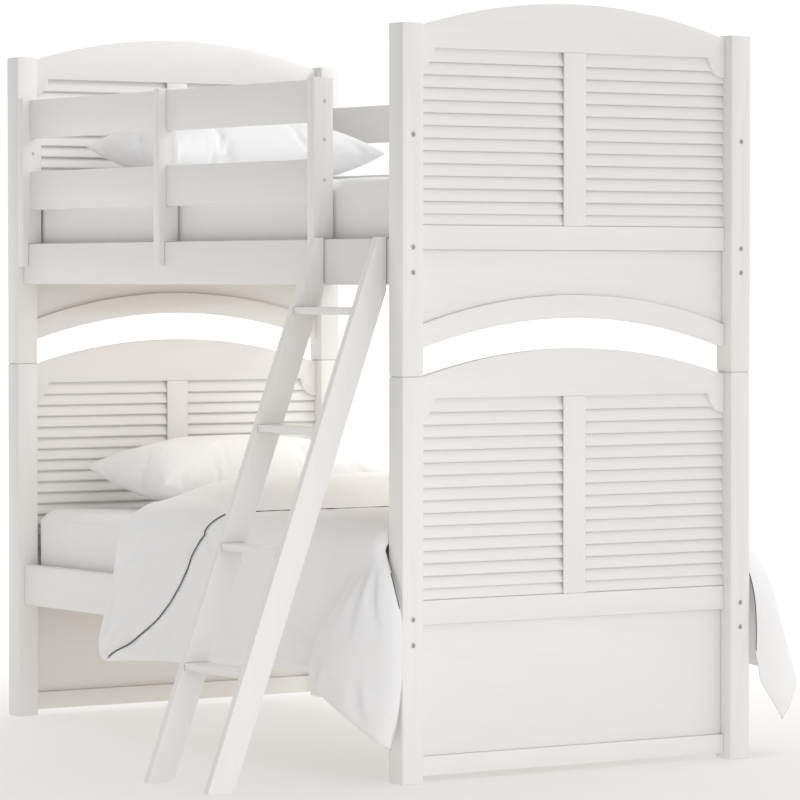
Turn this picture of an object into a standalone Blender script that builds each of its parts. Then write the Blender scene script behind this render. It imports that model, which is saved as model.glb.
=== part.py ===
"""Bunk bed with ladder: two louvred twin beds stacked on dowels, with guards and bedding.

+X runs along the bed to the foot end, -Y is the ladder side and +Z is up. The origin is on the
floor, in the middle of the space that the whole set takes up. Units are metres. Heights with
RISE or BASE in their name are measured from the foot of the bed they belong to, and insets are
measured inwards from the outer faces of the posts.
"""
import math

import bmesh
import bpy
from mathutils import Vector

# Fits
GAP = 0.0003                  # air between pieces that touch
SOFT_GAP = 0.001              # air around bedding

# Overall
LENGTH = 2.050                # over the end faces of the posts
WIDTH = 1.0945                # over the side faces of the posts

# Posts and the dowels that stack the beds
POST_X = 0.064
POST_Y = 0.064
POST_EDGE = 0.004
LOWER_POST = 1.014
UPPER_POST = 0.878
DOWEL_RADIUS = 0.008
DOWEL_RISE = 0.045
DOWEL_ROOT = 0.020
DOWEL_CLEARANCE = 0.001
DOWEL_HOLE_SPARE = 0.005
BOLT_POCKET_RADIUS = 0.0065
BOLT_POCKET_DEPTH = 0.004

# End frames, with insets from the post faces that look towards +X
RAIL_INSET = 0.028
RAIL_DEPTH = 0.024
SLAT_INSET = 0.033
SLAT_SLOPE = 0.011            # how much deeper a slat's top edge lies
SLAT_THICKNESS = 0.008
SLAT_LAP = 0.006              # how far a slat runs up behind the next
SLAT_PITCH = 0.0318
PANEL_INSET = 0.042
PANEL_THICKNESS = 0.006
CENTRE_STILE_WIDTH = 0.069
MID_RAIL_HEIGHT = 0.061
LOBE_RADIUS = 0.052
ARCH_RISE = 0.073
FOOT_ARCH_RISE = 0.078        # rise of the upper bed's arched bottom rail
FOOT_ARCH_BAND = 0.059

# Side rails, their ledgers and the slat bases
SIDE_RAIL_HEIGHT = 0.116
SIDE_RAIL_THICKNESS = 0.028
SIDE_RAIL_INSET = 0.018
LEDGER_WIDTH = 0.022
LEDGER_HEIGHT = 0.025
LEDGER_TOP = 0.055            # above the underside of the side rail
SLAT_BASE_COUNT = 13
SLAT_BASE_WIDTH = 0.070
SLAT_BASE_THICKNESS = 0.018
SLAT_BASE_PLAY = 0.003
STRAP_WIDTH = 0.025
STRAP_INSET = 0.200           # from the ends of the slats
STRAP_SINK = 0.001            # half the strap's thickness, let into the slats

# Guards
BOARD_HEIGHT = 0.110
BOARD_THICKNESS = 0.020
BOARD_INSET = 0.0235
LOW_BOARD_RISE = 0.440
HIGH_BOARD_RISE = 0.644
STILE_THICKNESS = 0.030
STILE_DEPTH = 0.060
STILE_OVER_BOARD = 0.004
STILE_TONGUE = 0.066          # how far it laps down over the side rail
LADDER_OPENING = 0.410        # from the foot end to the guard
MIDDLE_STILE_SHIFT = 0.0055   # towards the head end from the middle of the guard

# Ladder
LADDER_LEAN = math.radians(20.0)
LADDER_WIDTH = 0.310
LADDER_TO_GUARD = 0.005
STRINGER_THICKNESS = 0.020
STRINGER_RUN = 0.076          # its width, measured level
STRINGER_TOP_REACH = 0.012    # its front edge stands this far out at the top
STRINGER_FOOT_ROUND = 0.009
TREAD_COUNT = 4
TREAD_FIRST = 0.2965          # floor to the top of the first tread
TREAD_SPACING = 0.2965
TREAD_THICKNESS = 0.019
TREAD_DEPTH = 0.070
TREAD_HOUSING = 0.006
HOOK_THICKNESS = 0.003
HOOK_WIDTH = 0.016
HOOK_LIP = 0.022
HOOK_DROP = 0.110

# Bedding
MATTRESS_END_PLAY = 0.008     # to the frame at each end
MATTRESS_WIDTH_PLAY = 0.0075  # to the guard stiles on each side
MATTRESS_POST_PLAY = 0.0035
MATTRESS_THICKNESS = 0.200
MATTRESS_EDGE = 0.028
PILLOW_LENGTH = 0.745         # across the bed
PILLOW_DEPTH = 0.450
PILLOW_THICKNESS = 0.210
PILLOW_TILT = math.radians(5.0)
PILLOW_FROM_HEAD = 0.325      # from the head end to its middle
PILLOW_SHIFT = 0.025          # towards the back
DUVET_FOLD = 1.390            # from the foot end to the turned edge
DUVET_FLAP = 0.540            # how far the turned part reaches back
DUVET_THICKNESS = 0.055
DUVET_HANG_THICKNESS = 0.030
DUVET_SIDE_GAP = 0.003
DUVET_HEM = 0.235
DUVET_HEM_DROP = 0.145        # extra drop of the two foot corners
DUVET_HEM_RUN = 0.330
DUVET_EAR = 0.440             # height of its edge at the foot end
DUVET_EAR_SLOPE = 1.73
DUVET_BACK_REACH = 0.200      # how far the back corner stands out
DUVET_FRONT_REACH = 0.055
DUVET_FLARE_RUN = 0.300

WHITE_PAINT = (0.86, 0.85, 0.83)
PINE = (0.72, 0.58, 0.40)
STEEL = (0.45, 0.45, 0.46)
SHEETING = (0.90, 0.90, 0.90)
COVER = (0.88, 0.88, 0.89)

LOWER_BED = {
    "name": "lower",
    "base": 0.0,
    "post": LOWER_POST,
    "bottom_rail": (0.0155, 0.064),
    "mid_rail": 0.3935,
    "top_rail": 0.959,
    "arch_drop": 0.006,
    "side_rail": 0.322,
    "bolts": (0.347, 0.411),
}
UPPER_BED = {
    "name": "upper",
    "base": LOWER_POST + GAP,
    "post": UPPER_POST,
    "foot_arch": 0.0652,
    "mid_rail": 0.316,
    "top_rail": 0.8185,
    "arch_drop": 0.009,
    "side_rail": 0.228,
    "bolts": (0.259, 0.322, 0.601),
}

HALF_SPAN = WIDTH / 2 - POST_Y - GAP
SIDE_RAIL_INNER = SIDE_RAIL_INSET + SIDE_RAIL_THICKNESS
UPPER_RAIL_TOP = UPPER_BED["base"] + UPPER_BED["side_rail"] + SIDE_RAIL_HEIGHT
STRINGER_TOP = UPPER_RAIL_TOP + GAP + HOOK_THICKNESS
LADDER_REACH = STRINGER_TOP_REACH + math.tan(LADDER_LEAN) * STRINGER_TOP
STRINGER_TIP = 0.3 * STRINGER_FOOT_ROUND
CENTRE_Y = (LADDER_REACH - STRINGER_TIP - DUVET_BACK_REACH) / 2
HEAD_END = -LENGTH / 2
FOOT_END = LENGTH / 2


def clear_scene():
    for thing in list(bpy.data.objects):
        bpy.data.objects.remove(thing, do_unlink=True)


def paint(obj, name, colour, roughness=0.5, metallic=0.0):
    material = bpy.data.materials.get(name) or bpy.data.materials.new(name)
    material.use_nodes = True
    shader = material.node_tree.nodes["Principled BSDF"]
    shader.inputs["Base Color"].default_value = (*colour, 1.0)
    shader.inputs["Roughness"].default_value = roughness
    shader.inputs["Metallic"].default_value = metallic
    obj.data.materials.clear()
    obj.data.materials.append(material)


def place(name, mesh, at=(0.0, 0.0, 0.0), colour=WHITE_PAINT, parent=None, metallic=0.0):
    """Links a mesh as a named piece, held by its parent empty when it has one."""
    obj = bpy.data.objects.new(name, mesh)
    bpy.context.collection.objects.link(obj)
    obj.location = at
    if parent is not None:
        obj.parent = parent
        obj.matrix_parent_inverse = parent.matrix_world.inverted()
    paint(obj, name + "_finish", colour, 0.35 if metallic else 0.5, metallic)
    return obj


def finish_mesh(name, builder):
    """Closes off a bmesh as a mesh whose faces all point outwards."""
    bmesh.ops.recalc_face_normals(builder, faces=builder.faces)
    if builder.calc_volume(signed=True) < 0:
        bmesh.ops.reverse_faces(builder, faces=builder.faces)
    mesh = bpy.data.meshes.new(name)
    builder.to_mesh(mesh)
    builder.free()
    return mesh


def block_mesh(name, low, high):
    """A rectangular block between two opposite corners."""
    builder = bmesh.new()
    bmesh.ops.create_cube(builder, size=1.0)
    middle = (Vector(low) + Vector(high)) / 2
    size = Vector(high) - Vector(low)
    for vert in builder.verts:
        vert.co = Vector(c * s for c, s in zip(vert.co, size)) + middle
    return finish_mesh(name, builder)


def prism_mesh(name, outline, axis, low, high):
    """An outline of (a, b) points pushed along an axis: a, b are Y, Z for X and X, Z for Y."""
    builder = bmesh.new()
    rings = []
    for along in (low, high):
        if axis == "X":
            corners = [(along, a, b) for a, b in outline]
        else:
            corners = [(a, along, b) for a, b in outline]
        rings.append([builder.verts.new(corner) for corner in corners])
    builder.faces.new(rings[0])
    builder.faces.new(rings[1])
    for i in range(len(outline)):
        j = (i + 1) % len(outline)
        builder.faces.new((rings[0][i], rings[0][j], rings[1][j], rings[1][i]))
    return finish_mesh(name, builder)


def round_edges(obj, width, segments=2):
    bevel = obj.modifiers.new("rounded edges", "BEVEL")
    bevel.width = width
    bevel.segments = segments
    bevel.limit_method = "ANGLE"
    bevel.angle_limit = math.radians(40)


def combine(obj, tool, operation):
    """Adds a Boolean with a hidden tool, which stays beside the piece as its guide."""
    tool.hide_render = True
    tool.display_type = "WIRE"
    boolean = obj.modifiers.new(tool.name, "BOOLEAN")
    boolean.operation = operation
    boolean.solver = "EXACT"
    boolean.object = tool


def cylinder_tool(name, radius, length, centre, along, parent=None, sides=16):
    builder = bmesh.new()
    bmesh.ops.create_cone(builder, cap_ends=True, segments=sides, radius1=radius,
                          radius2=radius, depth=length)
    tool = bpy.data.objects.new(name, finish_mesh(name, builder))
    bpy.context.collection.objects.link(tool)
    tool.location = centre
    tool.rotation_euler = Vector(along).to_track_quat("Z", "Y").to_euler()
    if parent is not None:
        tool.parent = parent
        tool.matrix_parent_inverse = parent.matrix_world.inverted()
    return tool


def arc_height(y, end_height, rise):
    """Height at y of a circular arc that spans the frame and rises in the middle."""
    radius = (HALF_SPAN ** 2 + rise ** 2) / (2 * rise)
    return end_height + rise - radius + math.sqrt(radius ** 2 - y ** 2)


def arc_points(end_height, rise, steps=20):
    """The arc's points from +Y to -Y."""
    spots = [HALF_SPAN * (1 - 2 * i / steps) for i in range(steps + 1)]
    return [(y, arc_height(y, end_height, rise)) for y in spots]


def quarter_arc(centre, radius, start, end, steps=6):
    angles = [start + (end - start) * i / steps for i in range(steps + 1)]
    return [(centre[0] + radius * math.cos(a), centre[1] + radius * math.sin(a)) for a in angles]


# Posts

def build_post(bed, end, side, parent):
    """One square post, with its stacking dowel or dowel hole and pockets for the bed bolts."""
    outward = 1 if end == "foot" else -1
    across = -1 if side == "front" else 1
    x = outward * (LENGTH / 2 - POST_X / 2)
    y = CENTRE_Y + across * (WIDTH / 2 - POST_Y / 2)
    half = Vector((POST_X / 2, POST_Y / 2, bed["post"] / 2))
    name = "{}_post_{}_{}".format(bed["name"], side, end)
    post = place(name, block_mesh(name, -half, half), (x, y, bed["base"] + half.z), parent=parent)
    round_edges(post, POST_EDGE)
    if bed is LOWER_BED:
        dowel = cylinder_tool(name + "_dowel", DOWEL_RADIUS, DOWEL_RISE + DOWEL_ROOT,
                              (x, y, LOWER_POST + (DOWEL_RISE - DOWEL_ROOT) / 2), (0, 0, 1))
        combine(post, dowel, "UNION")
    else:
        depth = DOWEL_RISE + DOWEL_HOLE_SPARE
        hole = cylinder_tool(name + "_dowel_hole", DOWEL_RADIUS + DOWEL_CLEARANCE, 2 * depth,
                             (x, y, bed["base"]), (0, 0, 1), parent)
        combine(post, hole, "DIFFERENCE")
    for number, rise in enumerate(bed["bolts"], 1):
        pocket = cylinder_tool("{}_pocket_{}".format(name, number), BOLT_POCKET_RADIUS,
                               2 * BOLT_POCKET_DEPTH,
                               (outward * LENGTH / 2, y, bed["base"] + rise), (1, 0, 0), parent)
        combine(post, pocket, "DIFFERENCE")


# End frames

def top_rail_outline(bed):
    """Arched above, straight below, with a round lobe down each post."""
    under = bed["top_rail"]
    ends = bed["post"] - bed["arch_drop"]
    left = quarter_arc((-HALF_SPAN, under), LOBE_RADIUS, -math.pi / 2, 0)
    right = quarter_arc((HALF_SPAN, under), LOBE_RADIUS, math.pi, 1.5 * math.pi)
    return left + right + arc_points(ends, ARCH_RISE)


def louvre_outline(low, high):
    """Side view of a bank of lapped slats: a zigzag front, and the same zigzag behind."""
    rows = round((high - low) / SLAT_PITCH)
    pitch = (high - low) / rows
    front = []
    back = []
    for row in range(rows):
        foot = low + row * pitch
        front.append((-SLAT_INSET, foot))
        front.append((-SLAT_INSET - SLAT_SLOPE, foot + pitch))
        lap = SLAT_LAP if row < rows - 1 else 0.0
        lift = SLAT_LAP if row > 0 else 0.0
        back.append((-SLAT_INSET - SLAT_THICKNESS, foot + lift))
        back.append((-SLAT_INSET - SLAT_SLOPE - SLAT_THICKNESS, foot + pitch + lap))
    return front + back[::-1]


def build_end_frame(bed, end, parent):
    """The rails, louvre bank, centre stile and flat panel of one end, facing +X."""
    face = FOOT_END if end == "foot" else HEAD_END + POST_X
    at = (face, CENTRE_Y, bed["base"])
    title = "{}_{}".format(bed["name"], end)
    rail_span = (-RAIL_INSET - RAIL_DEPTH, -RAIL_INSET)
    mid_low = bed["mid_rail"]
    mid_high = mid_low + MID_RAIL_HEIGHT

    name = title + "_arched_top_rail"
    place(name, prism_mesh(name, top_rail_outline(bed), "X", *rail_span), at, parent=parent)

    name = title + "_mid_rail"
    mesh = block_mesh(name, (rail_span[0], -HALF_SPAN, mid_low), (rail_span[1], HALF_SPAN, mid_high))
    place(name, mesh, at, parent=parent)

    name = title + "_louvre_bank"
    outline = louvre_outline(mid_high + GAP, bed["top_rail"] - GAP)
    bank = place(name, prism_mesh(name, outline, "Y", -HALF_SPAN, HALF_SPAN), at, parent=parent)
    for side in (-1, 1):
        corner = (face - SLAT_INSET, CENTRE_Y + side * HALF_SPAN, bed["base"] + bed["top_rail"])
        scoop = cylinder_tool("{}_scoop_{}".format(name, side), LOBE_RADIUS + 2 * GAP, 0.1,
                              corner, (1, 0, 0), parent, sides=48)
        combine(bank, scoop, "DIFFERENCE")

    name = title + "_centre_stile"
    half = CENTRE_STILE_WIDTH / 2
    mesh = block_mesh(name, (-SLAT_INSET + GAP, -half, mid_high + GAP),
                      (-RAIL_INSET, half, bed["top_rail"] - GAP))
    place(name, mesh, at, parent=parent)

    panel_span = (-PANEL_INSET - PANEL_THICKNESS, -PANEL_INSET)
    name = title + "_flat_panel"
    if bed is LOWER_BED:
        low, high = bed["bottom_rail"]
        mesh = block_mesh(name, (panel_span[0], -HALF_SPAN, high + GAP),
                          (panel_span[1], HALF_SPAN, mid_low - GAP))
        place(name, mesh, at, parent=parent)
        name = title + "_bottom_rail"
        mesh = block_mesh(name, (rail_span[0], -HALF_SPAN, low), (rail_span[1], HALF_SPAN, high))
        place(name, mesh, at, parent=parent)
    else:
        band_top = bed["foot_arch"] + FOOT_ARCH_BAND
        lower_edge = arc_points(band_top + GAP, FOOT_ARCH_RISE)[::-1]
        outline = lower_edge + [(HALF_SPAN, mid_low - GAP), (-HALF_SPAN, mid_low - GAP)]
        place(name, prism_mesh(name, outline, "X", *panel_span), at, parent=parent)
        name = title + "_arched_bottom_rail"
        outline = arc_points(bed["foot_arch"], FOOT_ARCH_RISE)[::-1]
        outline += arc_points(band_top, FOOT_ARCH_RISE)
        place(name, prism_mesh(name, outline, "X", *rail_span), at, parent=parent)


# Side rails and slat bases

def side_rail_outline():
    """A board with the slat ledger glued to its inner face, for the front side."""
    outer = -WIDTH / 2 + SIDE_RAIL_INSET
    inner = -WIDTH / 2 + SIDE_RAIL_INNER
    ledger = inner + LEDGER_WIDTH
    return [(outer, 0), (inner, 0), (inner, LEDGER_TOP - LEDGER_HEIGHT),
            (ledger, LEDGER_TOP - LEDGER_HEIGHT), (ledger, LEDGER_TOP), (inner, LEDGER_TOP),
            (inner, SIDE_RAIL_HEIGHT), (outer, SIDE_RAIL_HEIGHT)]


def build_side_rails(bed, parent):
    reach = LENGTH / 2 - POST_X - GAP
    at = (0, CENTRE_Y, bed["base"] + bed["side_rail"])
    for side, turn in (("front", 0.0), ("back", math.pi)):
        name = "{}_side_rail_{}".format(bed["name"], side)
        rail = place(name, prism_mesh(name, side_rail_outline(), "X", -reach, reach), at,
                     parent=parent)
        rail.rotation_euler.z = turn
        round_edges(rail, 0.002, 1)


def build_slat_base(bed, parent):
    """Pine slats on the ledgers, held at their spacing by two webbing straps."""
    name = bed["name"] + "_slat_base"
    reach_y = WIDTH / 2 - SIDE_RAIL_INNER - SLAT_BASE_PLAY
    reach_x = LENGTH / 2 - POST_X - SLAT_BASE_PLAY - SLAT_BASE_WIDTH / 2
    at = (0, CENTRE_Y, bed["base"] + bed["side_rail"] + LEDGER_TOP + GAP)
    spots = [reach_x * (2 * i / (SLAT_BASE_COUNT - 1) - 1) for i in range(SLAT_BASE_COUNT)]
    half = SLAT_BASE_WIDTH / 2
    top = SLAT_BASE_THICKNESS
    slats = []
    for number, x in enumerate(spots, 1):
        mesh = block_mesh("{}_{}".format(name, number), (x - half, -reach_y, 0),
                          (x + half, reach_y, top))
        slats.append(mesh)
    base = place(name, slats[0], at, PINE, parent)
    for side in (-1, 1):
        y = side * (reach_y - STRAP_INSET)
        mesh = block_mesh(name + "_strap", (spots[0] - half / 2, y - STRAP_WIDTH / 2, top - STRAP_SINK),
                          (spots[-1] + half / 2, y + STRAP_WIDTH / 2, top + STRAP_SINK))
        strap = place("{}_strap_{}".format(name, side), mesh, at, PINE, parent)
        combine(base, strap, "UNION")
    for mesh in slats[1:]:
        slat = place(mesh.name, mesh, at, PINE, parent)
        combine(base, slat, "UNION")


# Guards

def stile_outline(side, base):
    """A guard stile from the side: it stands on the side rail and laps down over its face."""
    outer = side * WIDTH / 2
    inner = outer - side * STILE_DEPTH
    lap = outer - side * (SIDE_RAIL_INSET - GAP)
    top = base + HIGH_BOARD_RISE + BOARD_HEIGHT + STILE_OVER_BOARD
    seat = UPPER_RAIL_TOP + GAP
    foot = UPPER_RAIL_TOP - STILE_TONGUE
    return [(outer, foot), (lap, foot), (lap, seat), (inner, seat), (inner, top), (outer, top)]


def build_guard(side_name, parent):
    """Two boards on edge between stiles; the middle stile is mortised over the boards."""
    side = -1 if side_name == "front" else 1
    base = UPPER_BED["base"]
    near_face = FOOT_END - (LADDER_OPENING if side < 0 else POST_X + GAP)
    far_face = HEAD_END + POST_X + GAP
    starts = {"foot_end": near_face - STILE_THICKNESS, "head_end": far_face}
    if side < 0:
        middle = (near_face + far_face) / 2 - MIDDLE_STILE_SHIFT
        starts["middle"] = middle - STILE_THICKNESS / 2
    board_out = side * (WIDTH / 2 - BOARD_INSET)
    board_in = board_out - side * BOARD_THICKNESS
    y_low, y_high = sorted((board_out, board_in))
    rises = {"low": base + LOW_BOARD_RISE, "high": base + HIGH_BOARD_RISE}
    stiles = {}
    for spot, start in starts.items():
        name = "{}_guard_stile_{}".format(side_name, spot)
        mesh = prism_mesh(name, stile_outline(side, base), "X", start, start + STILE_THICKNESS)
        stiles[spot] = place(name, mesh, (0, CENTRE_Y, 0), parent=parent)
    board_start = far_face + STILE_THICKNESS + GAP
    board_end = near_face - STILE_THICKNESS - GAP
    for level, low in rises.items():
        name = "{}_guard_board_{}".format(side_name, level)
        mesh = block_mesh(name, (board_start, y_low, low), (board_end, y_high, low + BOARD_HEIGHT))
        place(name, mesh, (0, CENTRE_Y, 0), parent=parent)
        if side < 0:
            start = starts["middle"] - POST_EDGE
            mesh = block_mesh(name + "_mortise", (start, y_low - GAP, low - GAP),
                              (start + STILE_THICKNESS + 2 * POST_EDGE, y_high + GAP,
                               low + BOARD_HEIGHT + GAP))
            mortise = place(name + "_mortise", mesh, (0, CENTRE_Y, 0), parent=parent)
            combine(stiles["middle"], mortise, "DIFFERENCE")


# Ladder

def ladder_front(z):
    """Distance of the ladder's front edge from the post faces at a height."""
    return LADDER_REACH - math.tan(LADDER_LEAN) * z


def stringer_outline():
    """Leaning board with a level top, a plumb cut against the rail and a rounded foot."""
    face = -WIDTH / 2
    plumb = -SIDE_RAIL_INSET + HOOK_THICKNESS + 2 * GAP
    slope = math.tan(LADDER_LEAN)
    plumb_z = (LADDER_REACH - STRINGER_RUN - plumb) / slope
    round_up = STRINGER_FOOT_ROUND
    back = LADDER_REACH - STRINGER_RUN
    points = [(plumb, STRINGER_TOP), (plumb, plumb_z)]
    points += [(back - slope * round_up, round_up), (back + round_up, 0.0)]
    points += [(LADDER_REACH - round_up, 0.0), (LADDER_REACH - STRINGER_TIP, STRINGER_TIP)]
    points += [(ladder_front(round_up), round_up), (STRINGER_TOP_REACH, STRINGER_TOP)]
    return [(face - d, z) for d, z in points]


def build_ladder(parent):
    """Two stringers with four treads housed in them, hung on the rail by steel hooks."""
    far = FOOT_END - LADDER_OPENING + LADDER_TO_GUARD
    near = far + LADDER_WIDTH
    face = -WIDTH / 2
    at = (0, CENTRE_Y, 0)
    starts = {"head_side": far, "foot_side": near - STRINGER_THICKNESS}
    stringers = {}
    for spot, start in starts.items():
        name = "ladder_stringer_" + spot
        mesh = prism_mesh(name, stringer_outline(), "X", start, start + STRINGER_THICKNESS)
        stringers[spot] = place(name, mesh, at, parent=parent)
    inner_low = far + STRINGER_THICKNESS
    inner_high = near - STRINGER_THICKNESS
    for number in range(1, TREAD_COUNT + 1):
        top = TREAD_FIRST + (number - 1) * TREAD_SPACING
        front = face - ladder_front(top)
        name = "ladder_tread_{}".format(number)
        low = Vector((inner_low - TREAD_HOUSING + GAP, front, top - TREAD_THICKNESS))
        high = Vector((inner_high + TREAD_HOUSING - GAP, front + TREAD_DEPTH, top))
        place(name, block_mesh(name, low, high), at, parent=parent)
        room = Vector((GAP, GAP, GAP))
        mesh = block_mesh(name + "_housing", low - room, high + room)
        housing = place(name + "_housing", mesh, at, parent=parent)
        for stringer in stringers.values():
            combine(stringer, housing, "DIFFERENCE")
    for spot, start in starts.items():
        build_hook(spot, start + STRINGER_THICKNESS / 2, parent)


def build_hook(spot, x, parent):
    """A steel strap down the stringer's plumb cut and over the side rail."""
    name = "ladder_hook_" + spot
    outer = -WIDTH / 2 + SIDE_RAIL_INSET - GAP
    inner = -WIDTH / 2 + SIDE_RAIL_INNER + GAP
    over = UPPER_RAIL_TOP + GAP
    thick = HOOK_THICKNESS
    outline = [(outer - thick, over - HOOK_DROP), (outer, over - HOOK_DROP), (outer, over),
               (inner, over), (inner, over - HOOK_LIP), (inner + thick, over - HOOK_LIP),
               (inner + thick, over + thick), (outer - thick, over + thick)]
    mesh = prism_mesh(name, outline, "X", x - HOOK_WIDTH / 2, x + HOOK_WIDTH / 2)
    place(name, mesh, (0, CENTRE_Y, 0), STEEL, parent, metallic=1.0)


# Bedding

def mattress_bottom(bed):
    slat_top = bed["side_rail"] + LEDGER_TOP + GAP + SLAT_BASE_THICKNESS
    return bed["base"] + slat_top + STRAP_SINK + SOFT_GAP


def mattress_top(bed):
    return mattress_bottom(bed) + MATTRESS_THICKNESS


def build_mattress(bed, parent):
    name = bed["name"] + "_mattress"
    head = HEAD_END + POST_X - RAIL_INSET + MATTRESS_END_PLAY
    foot = FOOT_END - RAIL_INSET - RAIL_DEPTH - MATTRESS_END_PLAY
    beside = max(STILE_DEPTH + MATTRESS_WIDTH_PLAY, POST_Y + MATTRESS_POST_PLAY)
    half = Vector(((foot - head) / 2, WIDTH / 2 - beside, MATTRESS_THICKNESS / 2))
    at = ((head + foot) / 2, CENTRE_Y, mattress_bottom(bed) + half.z)
    mattress = place(name, block_mesh(name, -half, half), at, SHEETING, parent)
    round_edges(mattress, MATTRESS_EDGE, 3)


def pillow_mesh(name, cells_x=10, cells_y=14):
    """A cushion: two domes that meet in a seam, drawn in along the sides between its corners."""
    builder = bmesh.new()
    tilt = math.sin(PILLOW_TILT)

    def spot(i, j, layer):
        u = 2 * i / cells_x - 1
        v = 2 * j / cells_y - 1
        x = PILLOW_DEPTH / 2 * u * (1 - 0.07 * (1 - v * v))
        y = PILLOW_LENGTH / 2 * v * (1 - 0.05 * (1 - u * u))
        dome = ((1 - abs(u) ** 2.4) * (1 - abs(v) ** 2.4)) ** 0.6
        return (x, y, layer * PILLOW_THICKNESS / 2 * dome - tilt * x)

    seam = {}
    layers = []
    for layer in (1, -1):
        grid = {}
        for i in range(cells_x + 1):
            for j in range(cells_y + 1):
                if i in (0, cells_x) or j in (0, cells_y):
                    if (i, j) not in seam:
                        seam[i, j] = builder.verts.new(spot(i, j, 0))
                    grid[i, j] = seam[i, j]
                else:
                    grid[i, j] = builder.verts.new(spot(i, j, layer))
        layers.append(grid)
    for grid in layers:
        for i in range(cells_x):
            for j in range(cells_y):
                corners = (grid[i, j], grid[i + 1, j], grid[i + 1, j + 1], grid[i, j + 1])
                builder.faces.new(corners)
    return finish_mesh(name, builder)


def build_pillow(bed, parent):
    name = bed["name"] + "_pillow"
    mesh = pillow_mesh(name)
    lowest = min(vert.co.z for vert in mesh.vertices)
    at = (HEAD_END + PILLOW_FROM_HEAD, CENTRE_Y + PILLOW_SHIFT,
          mattress_top(bed) + SOFT_GAP - lowest)
    place(name, mesh, at, COVER, parent)


def duvet_hem(s):
    """Height of the hem at a distance from the foot end; it drops towards the foot corners."""
    return DUVET_HEM - DUVET_HEM_DROP * max(0.0, 1 - s / DUVET_HEM_RUN) ** 1.2


def hanging_mesh(name, side, reach, top):
    """A hanging side of the duvet, which stands out more and more towards its foot corner."""
    stations = [SOFT_GAP, POST_X, 0.14, 0.24, DUVET_HEM_RUN, 0.7, DUVET_FOLD - 0.02]
    levels = 5
    face = side * (WIDTH / 2 + DUVET_SIDE_GAP)
    builder = bmesh.new()
    grids = []
    for layer in (0, 1):
        grid = []
        for s in stations:
            fade = max(0.0, 1 - (s - stations[0]) / DUVET_FLARE_RUN)
            flare = (reach - DUVET_SIDE_GAP - DUVET_HANG_THICKNESS) * fade
            head = min(top, DUVET_EAR + DUVET_EAR_SLOPE * s)
            row = []
            for level in range(levels):
                t = level / (levels - 1)
                z = head + (duvet_hem(s) - head) * t
                y = face + side * (layer * DUVET_HANG_THICKNESS + flare * t)
                row.append(builder.verts.new((FOOT_END - s, y, z)))
            grid.append(row)
        grids.append(grid)
    count = len(stations)
    for i in range(count - 1):
        for j in range(levels - 1):
            for grid in grids:
                builder.faces.new((grid[i][j], grid[i + 1][j], grid[i + 1][j + 1], grid[i][j + 1]))
    inner, outer = grids
    for i in range(count - 1):
        for j in (0, levels - 1):
            builder.faces.new((inner[i][j], inner[i + 1][j], outer[i + 1][j], outer[i][j]))
    for j in range(levels - 1):
        for i in (0, count - 1):
            builder.faces.new((inner[i][j], inner[i][j + 1], outer[i][j + 1], outer[i][j]))
    return finish_mesh(name, builder)


def build_duvet(parent):
    """A duvet over the lower mattress, hanging down both sides, with its head end turned back."""
    bed = LOWER_BED
    bottom = mattress_top(bed) + SOFT_GAP
    top = bottom + DUVET_THICKNESS
    turned_top = top + DUVET_THICKNESS
    half = WIDTH / 2 + DUVET_SIDE_GAP + DUVET_HANG_THICKNESS
    start = FOOT_END - POST_X - DUVET_SIDE_GAP
    fold = FOOT_END - DUVET_FOLD
    flap = fold + DUVET_FLAP
    at = (0, CENTRE_Y, 0)
    outline = [(fold, bottom), (start, bottom), (start, top), (flap, top),
               (flap - 0.02, turned_top), (fold + 0.01, turned_top)]
    name = "lower_duvet"
    duvet = place(name, prism_mesh(name, outline, "Y", -half, half), at, COVER, parent)
    for side, reach in ((-1, DUVET_FRONT_REACH), (1, DUVET_BACK_REACH)):
        title = "{}_side_{}".format(name, side)
        hanging = place(title, hanging_mesh(title, side, reach, top - DUVET_HANG_THICKNESS / 2),
                        at, COVER, parent)
        combine(duvet, hanging, "UNION")


def build_bed(bed, parent):
    for end in ("head", "foot"):
        for side in ("front", "back"):
            build_post(bed, end, side, parent)
        build_end_frame(bed, end, parent)
    build_side_rails(bed, parent)
    build_slat_base(bed, parent)
    build_mattress(bed, parent)
    build_pillow(bed, parent)


def add_empty(name, at, parent=None):
    """A joint's frame: what moves on the joint hangs on it."""
    empty = bpy.data.objects.new(name, None)
    bpy.context.collection.objects.link(empty)
    empty.location = at
    bpy.context.view_layer.update()
    if parent is not None:
        empty.parent = parent
        empty.matrix_parent_inverse = parent.matrix_world.inverted()
        bpy.context.view_layer.update()
    return empty


def build():
    clear_scene()
    build_bed(LOWER_BED, None)
    build_duvet(None)
    upper = add_empty("upper_bed_lift", (0, CENTRE_Y, UPPER_BED["base"]))
    build_bed(UPPER_BED, upper)
    build_guard("front", upper)
    build_guard("back", upper)
    hook_x = FOOT_END - LADDER_OPENING + LADDER_TO_GUARD + LADDER_WIDTH / 2
    ladder = add_empty("ladder_lift", (hook_x, CENTRE_Y - WIDTH / 2 + SIDE_RAIL_INSET,
                                       UPPER_RAIL_TOP), upper)
    build_ladder(ladder)


build()
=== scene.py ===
import math

import bmesh
import bpy
import numpy as np
from mathutils import Matrix, Vector


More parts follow.
